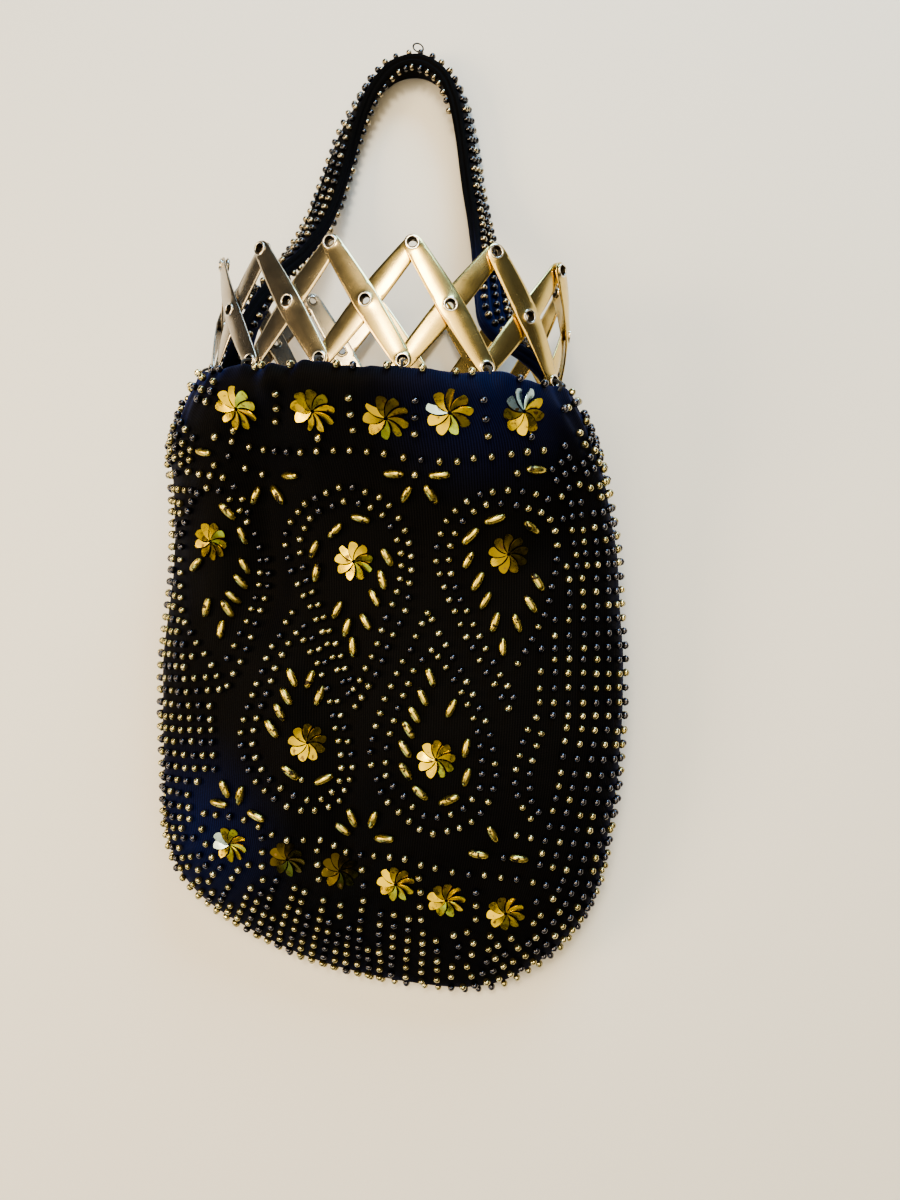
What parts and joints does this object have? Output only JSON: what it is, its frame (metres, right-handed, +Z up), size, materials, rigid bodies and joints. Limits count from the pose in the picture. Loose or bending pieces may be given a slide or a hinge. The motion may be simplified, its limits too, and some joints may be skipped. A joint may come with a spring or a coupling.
{
  "type": "beaded cocktail bag",
  "caption": "Black cloth evening pouch with metal beads and pinwheel spangles, gathered on an expanding lattice frame of gilt slats, with a beaded strap handle, lying on its back.",
  "frame": {"origin": "on the surface that the bag lies on, under the middle of its box", "axes": "+Z up, out of the bag's front; +Y from the foot of the pouch to the mouth and handle; +X to the right seen from above"},
  "size_m": [0.1602, 0.3374, 0.0802],
  "materials": {
    "black_fabric": "fine ribbed black cloth, beaded",
    "frame_metal": "satin champagne gilt",
    "spangle_metal": "pale gilt, worn in places"
  },
  "bodies": {
    "root": {"bag_body": "black_fabric", "handle_strap": "black_fabric", "slat_outer_01": "frame_metal", "slat_inner_01": "frame_metal", "slat_outer_02": "frame_metal", "slat_inner_02": "frame_metal", "slat_outer_03": "frame_metal", "slat_inner_03": "frame_metal", "slat_outer_04": "frame_metal", "slat_inner_04": "frame_metal", "slat_outer_05": "frame_metal", "slat_inner_05": "frame_metal", "slat_outer_06": "frame_metal", "slat_inner_06": "frame_metal", "slat_outer_07": "frame_metal", "slat_inner_07": "frame_metal", "slat_outer_08": "frame_metal", "slat_inner_08": "frame_metal", "slat_outer_09": "frame_metal", "slat_inner_09": "frame_metal", "slat_outer_10": "frame_metal", "slat_inner_10": "frame_metal", "slat_outer_11": "frame_metal", "slat_inner_11": "frame_metal", "slat_outer_12": "frame_metal", "slat_inner_12": "frame_metal", "flower_top_1": "spangle_metal", "flower_top_2": "spangle_metal", "flower_top_3": "spangle_metal", "flower_top_4": "spangle_metal", "flower_top_5": "spangle_metal", "flower_upper_1": "spangle_metal", "flower_upper_2": "spangle_metal", "flower_upper_3": "spangle_metal", "flower_lower_1": "spangle_metal", "flower_lower_2": "spangle_metal", "flower_bottom_1": "spangle_metal", "flower_bottom_2": "spangle_metal", "flower_bottom_3": "spangle_metal", "flower_bottom_4": "spangle_metal", "flower_bottom_5": "spangle_metal", "flower_bottom_6": "spangle_metal"}
  },
  "joints": []
}
